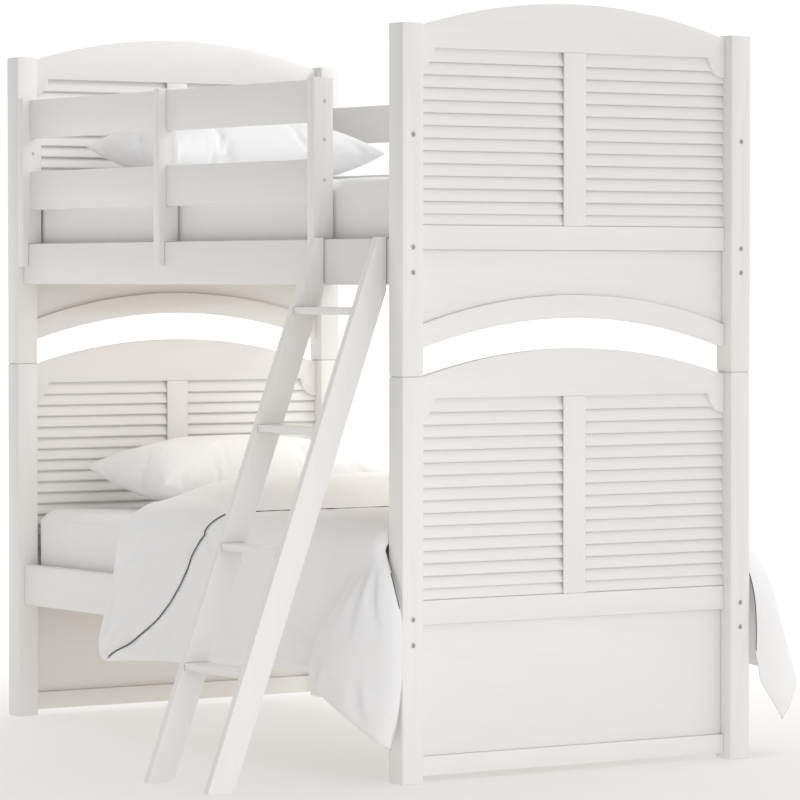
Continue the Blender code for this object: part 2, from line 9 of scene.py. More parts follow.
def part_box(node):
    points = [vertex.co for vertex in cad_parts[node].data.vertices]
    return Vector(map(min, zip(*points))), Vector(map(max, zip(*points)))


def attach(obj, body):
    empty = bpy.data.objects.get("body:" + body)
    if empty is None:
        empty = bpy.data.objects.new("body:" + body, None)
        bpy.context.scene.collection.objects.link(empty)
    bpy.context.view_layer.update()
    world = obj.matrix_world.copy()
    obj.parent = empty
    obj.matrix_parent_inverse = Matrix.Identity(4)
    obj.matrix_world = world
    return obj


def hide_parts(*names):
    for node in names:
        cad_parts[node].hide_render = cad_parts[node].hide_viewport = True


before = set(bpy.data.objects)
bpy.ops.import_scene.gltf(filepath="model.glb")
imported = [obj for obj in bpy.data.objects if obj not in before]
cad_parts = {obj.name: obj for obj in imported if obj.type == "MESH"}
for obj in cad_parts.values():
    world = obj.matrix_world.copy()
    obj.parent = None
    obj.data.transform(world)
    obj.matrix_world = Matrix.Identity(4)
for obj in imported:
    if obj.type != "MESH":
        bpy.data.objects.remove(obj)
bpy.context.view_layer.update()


# Camera, floor and studio light
# A long lens looks at the foot end and the ladder side from 1.25 m up, tipped slightly down. A softbox hangs
# behind the bed, three weak lamps fill its shaded parts, and the floor glows with painted light. Pale studio
# walls do the rest.

CAMERA_AT = Vector((9.7105, -6.1844, 1.2538))
CAMERA_AZIMUTH = math.radians(56.3482)
CAMERA_DIP = math.radians(1.6254)
LENS = 189.889
FLOOR_REACH = 400        # half the floor's side, so that its edge is lost in the distance

# Name, place, point it faces, size and watts. The first hangs behind the bed, the panel lies under the upper
# bunk and fills the lower one, and the last two stand near the floor off the ladder side and the foot end.
LAMPS = (("high_softbox", (0.45, 2.75, 3.7), (-0.1, 0.1, 0.9), (1.3, 1.3), 36.0),
         ("bunk_panel", (-0.40, 0.15, 1.215), (-0.40, 0.15, 0.0), (0.85, 1.1), 2.1),
         ("front_softbox", (-0.6, -2.4, 0.45), (-0.2, -0.4, 0.4), (1.4, 1.4), 5.0),
         ("foot_softbox", (2.9, -1.0, 0.5), (1.0, 0.1, 0.4), (1.2, 1.2), 6.0))

WELD = 1e-6              # points closer than this are one point


def linear(code):
    """An sRGB hex colour in linear light: s / 12.92 under 0.04045, ((s + 0.055) / 1.055) ** 2.4 above it."""
    s = np.array([int(code[i:i + 2], 16) for i in (1, 3, 5)]) / 255
    parts = np.where(s <= 0.04045, s / 12.92, ((s + 0.055) / 1.055) ** 2.4)
    return (*(float(part) for part in parts), 1.0)


def add(tree, kind, inputs=None, **settings):
    """Adds a node. Settings go on the node itself, and inputs are values or other nodes' sockets."""
    node = tree.nodes.new("ShaderNode" + kind)
    for key, value in settings.items():
        setattr(node, key, value)
    for key, value in (inputs or {}).items():
        if isinstance(value, bpy.types.NodeSocket):
            tree.links.new(value, node.inputs[key])
        else:
            node.inputs[key].default_value = value
    return node


def new_material(name, **values):
    """A Principled material with constant values set on the shader's own sockets."""
    material = bpy.data.materials.new(name)
    material.use_nodes = True
    shader = material.node_tree.nodes["Principled BSDF"]
    for key, value in values.items():
        shader.inputs[key.replace("_", " ")].default_value = value
    return material, material.node_tree, shader


def dress(obj, material):
    """Gives the object one material in place of any it had."""
    obj.data.materials.clear()
    obj.data.materials.append(material)


def mesh_object(name, points, faces, smooth=True):
    """An object at the origin, from an array of points and a list of faces."""
    mesh = bpy.data.meshes.new(name)
    mesh.from_pydata(np.asarray(points, float).tolist(), [], np.asarray(faces).tolist())
    mesh.update()
    mesh.polygons.foreach_set("use_smooth", np.full(len(mesh.polygons), smooth))
    obj = bpy.data.objects.new(name, mesh)
    bpy.context.collection.objects.link(obj)
    return obj


def quads(rows, columns, around=False, start=0):
    """Faces between neighbours in a rows by columns grid; around joins the last column to the first."""
    i = np.arange(rows - 1)[:, None]
    j = np.arange(columns if around else columns - 1)[None, :]
    k = (j + 1) % columns
    cells = [i * columns + j, i * columns + k, (i + 1) * columns + k, (i + 1) * columns + j]
    return np.stack([np.broadcast_to(cell, (rows - 1, j.size)) for cell in cells], -1).reshape(-1, 4) + start


def close_up(obj, weld=False, cap=False):
    """Turns every face outward, after joining points that coincide or filling open ends if asked."""
    shape = bmesh.new()
    shape.from_mesh(obj.data)
    if weld:
        bmesh.ops.remove_doubles(shape, verts=shape.verts, dist=WELD)
    if cap:
        bmesh.ops.holes_fill(shape, edges=[edge for edge in shape.edges if edge.is_boundary], sides=0)
    bmesh.ops.recalc_face_normals(shape, faces=shape.faces)
    shape.to_mesh(obj.data)
    shape.free()


camera = bpy.data.objects.new("camera", bpy.data.cameras.new("camera"))
bpy.context.collection.objects.link(camera)
camera.data.lens = LENS
camera.data.clip_end = 1000.0
camera.matrix_world = (Matrix.Translation(CAMERA_AT) @ Matrix.Rotation(CAMERA_AZIMUTH, 4, "Z")
                       @ Matrix.Rotation(math.pi / 2 - CAMERA_DIP, 4, "X"))
bpy.context.scene.camera = camera
bpy.context.scene.view_settings.view_transform = "Standard"

world = bpy.data.worlds.new("studio_walls")
world.use_nodes = True
bpy.context.scene.world = world
# The walls are bright all round, a little dimmer overhead and behind the bed, and dimmest on the ladder side.
tree = world.node_tree
tree.nodes.clear()
way = add(tree, "SeparateXYZ", {0: add(tree, "TexCoord").outputs["Generated"]})
side_wall = add(tree, "MapRange", {"Value": way.outputs["Y"], "From Min": -0.95, "From Max": 0.1,
                                   "To Min": 0.38, "To Max": 1.11}, interpolation_type="SMOOTHSTEP")
overhead = add(tree, "MapRange", {"Value": way.outputs["Z"], "From Min": 0.15, "From Max": 0.9,
                                  "To Min": 1.0, "To Max": 0.82}, interpolation_type="SMOOTHSTEP")
back_wall = add(tree, "MapRange", {"Value": way.outputs["Y"], "From Min": 0.64, "From Max": 0.95,
                                   "To Min": 1.0, "To Max": 0.80}, interpolation_type="SMOOTHSTEP")
sides = add(tree, "Math", {0: side_wall.outputs[0], 1: overhead.outputs[0]}, operation="MULTIPLY")
level = add(tree, "Math", {0: sides.outputs[0], 1: back_wall.outputs[0]}, operation="MULTIPLY")
walls = add(tree, "Background", {"Color": linear("#FFFEFD"), "Strength": level.outputs[0]})
tree.links.new(walls.outputs[0], add(tree, "OutputWorld").inputs["Surface"])

for name, at, toward, size, watts in LAMPS:
    softbox = bpy.data.objects.new(name, bpy.data.lights.new(name, "AREA"))
    bpy.context.collection.objects.link(softbox)
    softbox.data.shape = "RECTANGLE"
    softbox.data.size, softbox.data.size_y = size
    softbox.data.energy = watts
    softbox.visible_camera = False
    softbox.location = at
    softbox.rotation_euler = (Vector(toward) - softbox.location).to_track_quat("-Z", "Y").to_euler()

corners = [(x * FLOOR_REACH, y * FLOOR_REACH, 0) for x, y in ((-1, -1), (1, -1), (1, 1), (-1, 1))]
floor = mesh_object("floor", corners, [(0, 1, 2, 3)])
# The floor glows with painted light that fills the shade under the bed. Its colour and its glow are both painted
# brighter away from the ladder side, a painted fade to white into the distance.
painted_glow_floor, tree, shader = new_material("floor_painted_glow", Roughness=0.7)
place = add(tree, "TexCoord").outputs["Object"]
along = add(tree, "VectorMath", {0: place, 1: (-0.832, 0.555, 0.0)}, operation="DOT_PRODUCT")
fade = add(tree, "MapRange", {"Value": along.outputs["Value"], "From Min": -1.1, "From Max": 7.0},
           interpolation_type="SMOOTHSTEP")
# Painted shade: the floor's colour is darker near the front and lighter towards the back.
tone = add(tree, "Mix", {0: fade.outputs[0], 6: linear("#918F8D"), 7: linear("#B4B4B3")}, data_type="RGBA")
tree.links.new(tone.outputs[2], shader.inputs["Base Color"])
# Painted light: the floor glows, more strongly away from the ladder side.
glow = add(tree, "MapRange", {"Value": fade.outputs[0], "To Min": 0.50, "To Max": 0.95})
shader.inputs["Emission Color"].default_value = linear("#FFFEFC")
tree.links.new(glow.outputs[0], shader.inputs["Emission Strength"])
dress(floor, painted_glow_floor)


# Lacquered frames, guard and ladder
# Solid softwood and MDF, planed and sprayed with satin white lacquer. Edges are eased by hand,
# and the grain runs along each board, so it prints faintly through the coat.

EASED_EDGE = 0.0016
POST_EDGE = 0.003        # posts and stringers are rounded over more
CAD_WELD = 1e-5
FLAT_WITHIN = math.radians(0.4)
EDGE_OVER = math.radians(40)
SHARP_OVER = math.radians(38)


def eased(node, width=EASED_EDGE):
    """A copy of a CAD piece with its triangles merged into flat faces and its sharp edges rounded."""
    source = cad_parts[node]
    shape = bmesh.new()
    shape.from_mesh(source.data)
    bmesh.ops.remove_doubles(shape, verts=shape.verts, dist=CAD_WELD)
    bmesh.ops.dissolve_limit(shape, angle_limit=FLAT_WITHIN, verts=shape.verts, edges=shape.edges)
    sharp = [edge for edge in shape.edges if edge.is_manifold and edge.calc_face_angle() > EDGE_OVER]
    bmesh.ops.bevel(shape, geom=sharp, offset=width, segments=2, profile=0.5, affect="EDGES",
                    clamp_overlap=True)
    mesh = bpy.data.meshes.new(node + "_lacquered")
    shape.to_mesh(mesh)
    shape.free()
    mesh.polygons.foreach_set("use_smooth", np.full(len(mesh.polygons), True))
    mesh.set_sharp_from_angle(angle=SHARP_OVER)
    obj = bpy.data.objects.new(node + "_lacquered", mesh)
    bpy.context.collection.objects.link(obj)
    return obj


def lacquer(name, along):
    """Satin lacquer over wood whose grain runs along one axis: noise stretched 30 times that way."""
    material, tree, shader = new_material(name, Roughness=0.4, Coat_Weight=0.25, Coat_Roughness=0.25)
    place = add(tree, "TexCoord").outputs["Object"]
    stretch = [1.0, 1.0, 1.0]
    stretch["XYZ".index(along)] = 1 / 30
    laid = add(tree, "Mapping", {"Vector": place, "Scale": stretch})
    # Growth rings 4 mm apart and pores 0.8 mm apart, drawn twice that to show.
    rings = add(tree, "TexNoise", {"Vector": laid.outputs[0], "Scale": 120.0, "Detail": 4.0, "Roughness": 0.6})
    pores = add(tree, "TexNoise", {"Vector": laid.outputs[0], "Scale": 620.0, "Detail": 2.0})
    cloud = add(tree, "TexNoise", {"Vector": place, "Scale": 5.0, "Detail": 2.0})
    peel = add(tree, "TexNoise", {"Vector": place, "Scale": 480.0, "Detail": 1.0})
    tint = add(tree, "ValToRGB", {0: rings.outputs["Fac"]})
    tint.color_ramp.elements[0].position = 0.30
    tint.color_ramp.elements[0].color = linear("#F1F0EE")
    tint.color_ramp.elements[1].position = 0.62
    tint.color_ramp.elements[1].color = linear("#F4F3F2")
    blush = add(tree, "MapRange", {"Value": cloud.outputs["Fac"], "To Min": 0.0, "To Max": 0.35})
    tone = add(tree, "Mix", {0: blush.outputs[0], 6: tint.outputs[0], 7: linear("#F2F1EF")}, data_type="RGBA")
    tree.links.new(tone.outputs[2], shader.inputs["Base Color"])
    gloss = add(tree, "MapRange", {"Value": pores.outputs["Fac"], "To Min": 0.34, "To Max": 0.50})
    tree.links.new(gloss.outputs[0], shader.inputs["Roughness"])
    grain = add(tree, "Bump", {"Height": rings.outputs["Fac"], "Distance": 0.0002, "Strength": 0.14})
    pits = add(tree, "Bump", {"Height": pores.outputs["Fac"], "Distance": 0.0001, "Strength": 0.25,
                              "Normal": grain.outputs[0]})
    skin = add(tree, "Bump", {"Height": peel.outputs["Fac"], "Distance": 0.00005, "Strength": 0.5,
                              "Normal": pits.outputs[0]})
    tree.links.new(skin.outputs[0], shader.inputs["Normal"])
    return material


LACQUER = {axis: lacquer("satin_white_lacquer_grain_" + axis.lower(), axis) for axis in "XYZ"}


def grain_axis(node):
    """Boards and side rails run lengthways, end rails and treads across, everything else upright."""
    if "side_rail" in node or "guard_board" in node or "tread" in node:
        return "X"
    if "flat_panel" in node or node.endswith("_rail"):
        return "Y"
    return "Z"


def body_of(node):
    """The body that a CAD node moves with."""
    if node.startswith("lower"):
        return "lower_bunk"
    return "ladder" if node.startswith("ladder") else "upper_bunk"


for node in sorted(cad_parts):
    if any(word in node for word in ("louvre", "slat_base", "mattress", "pillow", "duvet", "hook")):
        continue
    piece = eased(node, POST_EDGE if "_post_" in node or "stringer" in node else EASED_EDGE)
    dress(piece, LACQUER[grain_axis(node)])
    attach(piece, body_of(node))
    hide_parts(node)


# Louvred panels
# Thin poplar slats, rounded on their long edges and lapped like roof boards, each tilted so
# that its lower lip stands proud. They sit in grooves in the posts behind the centre stile.

SLAT_PITCH = 0.0318
SLAT_THICKNESS = 0.008
SLAT_STEP = 0.011     # how much further back a slat's upper edge is than its lip
SLAT_LAP = 0.006      # how far each slat runs up behind the next
LIP_RADIUS = 0.0032
GROOVE = 0.004        # how far the top slat goes up into the rail


def slat_profile():
    """Side view of one slat, a rounded bar from its lip to its upper edge: points (depth, height)."""
    turn = np.linspace(-math.pi / 2, math.pi / 2, 7)
    half = SLAT_THICKNESS / 2
    length = SLAT_PITCH + SLAT_LAP
    lower = np.stack([-np.sin(turn) * half, -np.cos(turn) * LIP_RADIUS], -1)
    upper = np.stack([np.sin(turn) * half, length + np.cos(turn) * LIP_RADIUS * 0.5], -1)
    return np.concatenate([lower, upper])


for node in sorted(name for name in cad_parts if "louvre" in name):
    low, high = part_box(node)
    rows = round((high.z - low.z) / SLAT_PITCH)
    pitch = (high.z - low.z) / rows
    lean = math.atan2(SLAT_STEP, pitch)
    bar = slat_profile()
    depth = bar[:, 0] * math.cos(lean) - bar[:, 1] * math.sin(lean)
    height = bar[:, 0] * math.sin(lean) + bar[:, 1] * math.cos(lean)
    depth += high.x - depth.max()
    height *= pitch / (bar[:, 1].max() - SLAT_LAP) / math.cos(lean)
    ends = np.array([low.y, high.y])
    count = len(bar)
    points, faces = [], []
    for row in range(rows):
        lift = low.z + row * pitch + (LIP_RADIUS if row == 0 else 0.0)
        ring = np.stack([depth, np.zeros(count), np.minimum(height + lift, high.z + GROOVE)], -1)
        bars = np.repeat(ring[None], 2, 0)
        bars[:, :, 1] = ends[:, None]
        first = len(points) * 2 * count
        points.append(bars.reshape(-1, 3))
        faces += [tuple(face) for face in quads(2, count, around=True, start=first)]
        faces.append(tuple(range(first + count - 1, first - 1, -1)))
        faces.append(tuple(range(first + count, first + 2 * count)))
    mesh = bpy.data.meshes.new(node + "_slats")
    mesh.from_pydata(np.concatenate(points).tolist(), [], faces)
    slats = bpy.data.objects.new(node + "_slats", mesh)
    bpy.context.collection.objects.link(slats)
    close_up(slats)
    mesh.polygons.foreach_set("use_smooth", np.full(len(mesh.polygons), True))
    mesh.set_sharp_from_angle(angle=EDGE_OVER)
    dress(slats, LACQUER["Y"])
    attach(slats, body_of(node))
    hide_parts(node)


# Slat bases
# Planed pine slats, tacked to two webbing straps and rolled out over the side rails' ledges.

pine, tree, shader = new_material("planed_pine", Roughness=0.62)
place = add(tree, "TexCoord").outputs["Object"]
# Growth rings about 35 mm apart, broken up by distortion and drawn out 25 times along the slat.
laid = add(tree, "Mapping", {"Vector": place, "Scale": (1.0, 0.04, 1.0)})
bend = add(tree, "TexNoise", {"Vector": laid.outputs[0], "Scale": 14.0, "Detail": 3.0})
rings = add(tree, "TexWave", {"Vector": laid.outputs[0], "Scale": 9.0, "Distortion": 6.0, "Detail": 3.0,
                              "Detail Scale": 2.5}, bands_direction="X")
fibre = add(tree, "TexNoise", {"Vector": laid.outputs[0], "Scale": 420.0, "Detail": 3.0})
mixed = add(tree, "Math", {0: rings.outputs["Fac"], 1: bend.outputs["Fac"]}, operation="MULTIPLY")
tint = add(tree, "ValToRGB", {0: mixed.outputs[0]})
tint.color_ramp.elements[0].color = linear("#EADBC0")
tint.color_ramp.elements[1].position = 0.8
tint.color_ramp.elements[1].color = linear("#DCC6A0")
tree.links.new(tint.outputs[0], shader.inputs["Base Color"])
pitted = add(tree, "Bump", {"Height": fibre.outputs["Fac"], "Distance": 0.0002, "Strength": 0.6})
tree.links.new(pitted.outputs[0], shader.inputs["Normal"])

PINE_EDGE = 0.001

for node in ("lower_slat_base", "upper_slat_base"):
    piece = eased(node, PINE_EDGE)
    piece.name = node + "_rolled_out"
    dress(piece, pine)
    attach(piece, body_of(node))
    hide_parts(node)


# Bed bolts and screws
# Turned steel with dull nickel plating. The bolts sit in the posts' outer faces and pull the rails tight;
# the screws go through the guard stiles into the boards.

BOLT_HEIGHTS = {"lower": (0.347, 0.411), "upper": (1.2733, 1.3363, 1.6153)}
BOLT_RADIUS, BOLT_SUNK = 0.0061, 0.0006
SCREW_RADIUS, SCREW_PROUD = 0.0050, 0.0004
LADDER_SIDE_SCREWS = (1.5100, 1.6133, 1.7122)
HEAD_SIDE_SCREWS = (1.6156,)
HEAD_SIDES = 24

nickel, tree, shader = new_material("dull_nickel_plate", Metallic=1.0, Roughness=0.42)
place = add(tree, "TexCoord").outputs["Object"]
# Turning marks 0.7 mm apart and a slightly clouded plate.
marks = add(tree, "TexNoise", {"Vector": place, "Scale": 1400.0, "Detail": 2.0})
cloud = add(tree, "TexNoise", {"Vector": place, "Scale": 160.0, "Detail": 2.0})
tone = add(tree, "Mix", {0: cloud.outputs["Fac"], 6: linear("#CBCAC7"), 7: linear("#BAB9B6")},
           data_type="RGBA")
tree.links.new(tone.outputs[2], shader.inputs["Base Color"])
marked = add(tree, "Bump", {"Height": marks.outputs["Fac"], "Distance": 0.00008, "Strength": 0.5})
tree.links.new(marked.outputs[0], shader.inputs["Normal"])

# Side view of a bolt head with a hexagon socket, from the middle of the socket's floor out: (radius, height).
HEAD = np.array([(0.0, -0.0022), (0.42, -0.0022), (0.44, -0.0020), (0.46, 0.0002), (0.50, 0.0005),
                 (0.70, 0.0004), (0.88, -0.0001), (0.98, -0.0010), (1.0, -0.0020), (1.0, -0.0038)])
SOCKET_EDGE = 0.465      # radii under this are in the socket


def bolt_heads(name, spots, radius, outward, body):
    """Turned heads that face along X: the profile spun about each spot, with a six-sided socket inside it."""
    turn = np.arange(HEAD_SIDES) * math.tau / HEAD_SIDES
    sixfold = 1 / np.cos((turn % (math.pi / 3)) - math.pi / 6)
    inside = HEAD[:, 0] < SOCKET_EDGE
    reach = HEAD[:, :1] * radius * np.where(inside[:, None], sixfold[None, :] * 0.9, 1.0)
    ring = np.stack([np.broadcast_to(HEAD[:, 1:2], reach.shape) * outward, reach * np.cos(turn),
                     reach * np.sin(turn)], -1)
    points = np.concatenate([ring.reshape(-1, 3) + np.array(spot) for spot in spots])
    size = len(HEAD) * HEAD_SIDES
    faces = np.concatenate([quads(len(HEAD), HEAD_SIDES, around=True, start=size * i)
                            for i in range(len(spots))])
    heads = mesh_object(name, points, faces)
    close_up(heads, weld=True, cap=True)
    heads.data.set_sharp_from_angle(angle=math.radians(35))
    dress(heads, nickel)
    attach(heads, body)


for bed in ("lower", "upper"):
    for end, outward in (("foot", 1), ("head", -1)):
        spots = []
        for side in ("front", "back"):
            low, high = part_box("{}_post_{}_{}".format(bed, side, end))
            face = high.x if outward > 0 else low.x
            middle = (low.y + high.y) / 2
            spots += [(face - BOLT_SUNK * outward, middle, z) for z in BOLT_HEIGHTS[bed]]
        bolt_heads("{}_{}_bed_bolts".format(bed, end), spots, BOLT_RADIUS, outward, bed + "_bunk")

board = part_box("front_guard_board_low")
line = (board[0].y + board[1].y) / 2
for name, stile, heights in (("ladder_side_stile_screws", "front_guard_stile_foot_end", LADDER_SIDE_SCREWS),
                             ("head_side_stile_screw", "front_guard_stile_head_end", HEAD_SIDE_SCREWS)):
    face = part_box(stile)[1].x + SCREW_PROUD
    bolt_heads(name, [(face, line, z) for z in heights], SCREW_RADIUS, 1, "upper_bunk")


# Ladder hooks
# Bent from 3 mm zinc-plated strip; they drop behind the side rail and carry the ladder.

HOOK_EDGE = 0.0006

for node in ("ladder_hook_foot_side", "ladder_hook_head_side"):
    piece = eased(node, HOOK_EDGE)
    piece.name = node + "_plated"
    dress(piece, nickel)
    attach(piece, "ladder")
    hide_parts(node)


# Mattresses
# Foam mattresses, 200 mm deep, each in a smooth white cotton fitted sheet drawn tight over the corners.

MATTRESS_EDGE = 0.038
MATTRESS_CORNER = 0.035


def drift(a, b, seed, spread, waves=9):
    """A smooth random field: a sum of sines in random directions, about spread metres from crest to crest."""
    rng = np.random.default_rng(seed)
    turn = rng.uniform(0, math.tau, waves)
    size = spread * rng.uniform(0.6, 1.6, waves)
    shift = rng.uniform(0, math.tau, waves)
    phase = (a[..., None] * np.cos(turn) + b[..., None] * np.sin(turn)) / size * math.tau + shift
    return np.sin(phase).sum(-1) / math.sqrt(waves)


def cotton(name, light, shade, crease):
    """Plain-woven cotton: threads as three crossed sine waves, long soft creases, and a faint bloom."""
    material, tree, shader = new_material(name, Roughness=0.86, Sheen_Weight=0.25, Sheen_Roughness=0.55,
                                          Specular_IOR_Level=0.25)
    place = add(tree, "TexCoord").outputs["Object"]
    # Threads are 0.3 mm apart; at 1.6 mm they can be seen.
    threads = [add(tree, "TexWave", {"Vector": place, "Scale": 196.0, "Distortion": 1.2, "Detail": 1.0,
                                     "Detail Scale": 2.0}, bands_direction=axis) for axis in "XYZ"]
    pair = add(tree, "Math", {0: threads[0].outputs["Fac"], 1: threads[1].outputs["Fac"]}, operation="ADD")
    weave = add(tree, "Math", {0: pair.outputs[0], 1: threads[2].outputs["Fac"]}, operation="ADD")
    folds = add(tree, "TexNoise", {"Vector": place, "Scale": 9.0, "Detail": 3.0, "Roughness": 0.45,
                                   "Distortion": 0.6})
    slub = add(tree, "TexNoise", {"Vector": place, "Scale": 60.0, "Detail": 4.0})
    tone = add(tree, "Mix", {0: slub.outputs["Fac"], 6: linear(light), 7: linear(shade)}, data_type="RGBA")
    tree.links.new(tone.outputs[2], shader.inputs["Base Color"])
    soft = add(tree, "Bump", {"Height": folds.outputs["Fac"], "Distance": crease, "Strength": 0.5})
    fine = add(tree, "Bump", {"Height": weave.outputs[0], "Distance": 0.00012, "Strength": 0.5,
                              "Normal": soft.outputs[0]})
    tree.links.new(fine.outputs[0], shader.inputs["Normal"])
    return material


percale = cotton("percale_fitted_sheet", "#FAFAFA", "#F5F5F5", 0.004)


def rounded_outline(half_x, half_y, radius, per_corner=8, step=0.035):
    """A rectangle with quarter-circle corners, as points that go once round it."""
    path = []
    for turn, (sx, sy) in enumerate(((1, 1), (-1, 1), (-1, -1), (1, -1))):
        middle = np.array([sx * (half_x - radius), sy * (half_y - radius)])
        angle = turn * math.pi / 2 + np.linspace(0, math.pi / 2, per_corner)
        path.append(middle + radius * np.stack([np.cos(angle), np.sin(angle)], -1))
        side = 2 * ((half_x if turn % 2 == 0 else half_y) - radius)
        steps = max(2, round(side / step))
        along = np.linspace(0, side, steps + 1)[1:-1, None]
        path.append(path[-1][-1] + along * np.array([(-1, 0), (0, -1), (1, 0), (0, 1)][turn]))
    return np.concatenate(path)


def fitted_mattress(node, seed):
    """Rings from the middle of the underside, round the edge and in to the middle of the top. Each ring is a
    rounded rectangle; the top falls 6 mm to its edges, and top and sides ripple by a millimetre or two."""
    low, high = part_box(node)
    centre = (low + high) / 2
    half = (high - low) / 2
    plan = rounded_outline(half.x, half.y, MATTRESS_CORNER) / np.array([half.x, half.y])
    bend = np.linspace(0, math.pi / 2, 7)
    inward = np.linspace(0, 1, 14)[1:]
    inset = np.concatenate([MATTRESS_EDGE * (1 - np.sin(bend)), np.zeros(4), MATTRESS_EDGE * (1 - np.cos(bend))])
    height = np.concatenate([-half.z + MATTRESS_EDGE * (1 - np.cos(bend)),
                             np.linspace(-half.z + MATTRESS_EDGE, half.z - MATTRESS_EDGE, 6)[1:-1],
                             half.z - MATTRESS_EDGE * (1 - np.sin(bend))])
    scale_x, scale_y = (np.concatenate([(1 - inward[::-1]) * (reach - MATTRESS_EDGE) / reach,
                                        1 - inset / reach,
                                        (1 - inward) * (reach - MATTRESS_EDGE) / reach])
                        for reach in (half.x, half.y))
    level = np.concatenate([np.full(len(inward), -half.z), height, np.full(len(inward), half.z)])
    x = plan[None, :, 0] * half.x * scale_x[:, None]
    y = plan[None, :, 1] * half.y * scale_y[:, None]
    z = np.broadcast_to(level[:, None], x.shape).copy()
    top = z > half.z - 0.02
    edge = np.minimum(half.x - np.abs(x), half.y - np.abs(y))
    z += np.where(top, -0.006 * np.exp(-edge / 0.08) + 0.0016 * drift(x, y, seed, 0.22), 0)
    bulge = np.clip(1 - (z / half.z) ** 2, 0, 1)
    out = 1 - 0.0035 * (1 - bulge[..., None]) + 0.0012 * drift(x * 3, z * 2 + y * 3, seed + 1, 0.35)[..., None]
    flat = np.stack([x, y], -1) * np.minimum(out, 1.0)
    points = np.concatenate([flat, z[..., None]], -1) + np.array(centre)
    mattress = mesh_object(node + "_in_fitted_sheet", points.reshape(-1, 3),
                           quads(points.shape[0], points.shape[1], around=True))
    close_up(mattress, weld=True)
    dress(mattress, percale)
    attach(mattress, body_of(node))
    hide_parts(node)


fitted_mattress("lower_mattress", 3)
fitted_mattress("upper_mattress", 5)


# Pillows
# Two cotton panels sewn edge to edge and filled with down, so the corners stay thin and pointed,
# the middle is plump, and short puckers run in from the seam.

PILLOW_CUT = (0.86, 0.56)
PILLOW_CELLS = (96, 62)
BAG_RISE = 0.02          # how far each panel's middle is lifted before filling
FILLING_FRAMES = 40
PILLOW_CROWN = 0.104     # from the seam's level to the crown
SETTLE = 0.018           # height over which the underside eases onto the mattress

washed = cotton("washed_cotton_cover", "#FAFAFB", "#F5F5F6", 0.005)


def sewn_bag():
    """Two panels that meet along their edges and stand 40 mm apart in the middle."""
    u = np.linspace(-1, 1, PILLOW_CELLS[0] + 1)[:, None]
    v = np.linspace(-1, 1, PILLOW_CELLS[1] + 1)[None, :]
    dome = ((1 - u ** 2) * (1 - v ** 2)) ** 0.5
    x = np.broadcast_to(u * PILLOW_CUT[0] / 2, dome.shape)
    y = np.broadcast_to(v * PILLOW_CUT[1] / 2, dome.shape)
    panels = [np.stack([x, y, dome * BAG_RISE * side], -1) for side in (1, -1)]
    size = dome.size
    faces = quads(*dome.shape)
    points = np.concatenate([panel.reshape(-1, 3) for panel in panels])
    faces = np.concatenate([faces, faces[:, ::-1] + size])
    return points, faces


def filled_pillow():
    """The bag after it has been blown up by cloth simulation: points, then faces."""
    points, faces = sewn_bag()
    bag = mesh_object("pillow_bag", points, faces)
    close_up(bag, weld=True)
    cloth = bag.modifiers.new("fill", "CLOTH")
    cloth.settings.quality = 6
    cloth.settings.mass = 0.25
    cloth.settings.tension_stiffness = 25
    cloth.settings.compression_stiffness = 12
    cloth.settings.shear_stiffness = 8
    cloth.settings.bending_stiffness = 1.6
    cloth.settings.use_pressure = True
    cloth.settings.uniform_pressure_force = 9.0
    cloth.settings.effector_weights.gravity = 0.0
    cloth.settings.tension_damping = 12
    cloth.settings.compression_damping = 12
    cloth.settings.air_damping = 6
    cloth.point_cache.frame_start = 1
    cloth.point_cache.frame_end = FILLING_FRAMES
    for step in range(1, FILLING_FRAMES + 1):
        bpy.context.scene.frame_set(step)
    pressed = bag.modifiers.new("pressed", "SMOOTH")
    pressed.factor = 0.5
    pressed.iterations = 4
    graph = bpy.context.evaluated_depsgraph_get()
    result = bag.evaluated_get(graph).to_mesh()
    co = np.empty(len(result.vertices) * 3, np.float32)
    result.vertices.foreach_get("co", co)
    rings = [tuple(polygon.vertices) for polygon in result.polygons]
    bag.evaluated_get(graph).to_mesh_clear()
    bpy.data.objects.remove(bag, do_unlink=True)
    bpy.context.scene.frame_set(1)
    return co.reshape(-1, 3).astype(float), rings


down_filled, pillow_faces = filled_pillow()
reach = np.abs(down_filled).max(0)


def lay_pillow(node, flip, heights):
    """Fits the filled bag to its place. The seam's height is given at the corners (head front, head back, foot
    front, foot back) and blends between them, and the underside settles flat on the mattress."""
    low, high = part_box(node)
    centre = (low + high) / 2
    unit = down_filled / reach
    if flip:
        unit = unit * np.array([-1, 1, 1])
    x = -unit[:, 1] * (high.x - low.x) / 2
    y = unit[:, 0] * (high.y - low.y) / 2
    a, b = (unit[:, 1] * -1 + 1) / 2, (unit[:, 0] + 1) / 2
    head_front, head_back, foot_front, foot_back = heights
    seam = ((1 - a) * (1 - b) * head_front + (1 - a) * b * head_back + a * (1 - b) * foot_front
            + a * b * foot_back)
    z = low.z + seam + unit[:, 2] * PILLOW_CROWN
    floor_z = low.z - 0.001
    z = floor_z + SETTLE * np.log1p(np.exp(np.clip((z - floor_z) / SETTLE, -30, 30)))
    pillow = mesh_object(node + "_down_filled", np.stack([x + centre.x, y + centre.y, z], -1), pillow_faces)
    smooth = pillow.modifiers.new("smooth", "SUBSURF")
    smooth.levels = smooth.render_levels = 1
    dress(pillow, washed)
    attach(pillow, body_of(node))
    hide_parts(node)


lay_pillow("lower_pillow", False, (0.118, 0.115, 0.080, 0.100))
lay_pillow("upper_pillow", True, (0.120, 0.115, 0.085, 0.100))


# Duvet
# A quilt in a white cotton cover with a thin charcoal cord sewn into its ends. It hangs over both sides, its
# head end is turned back towards the foot, and its foot corners stand out over the posts.

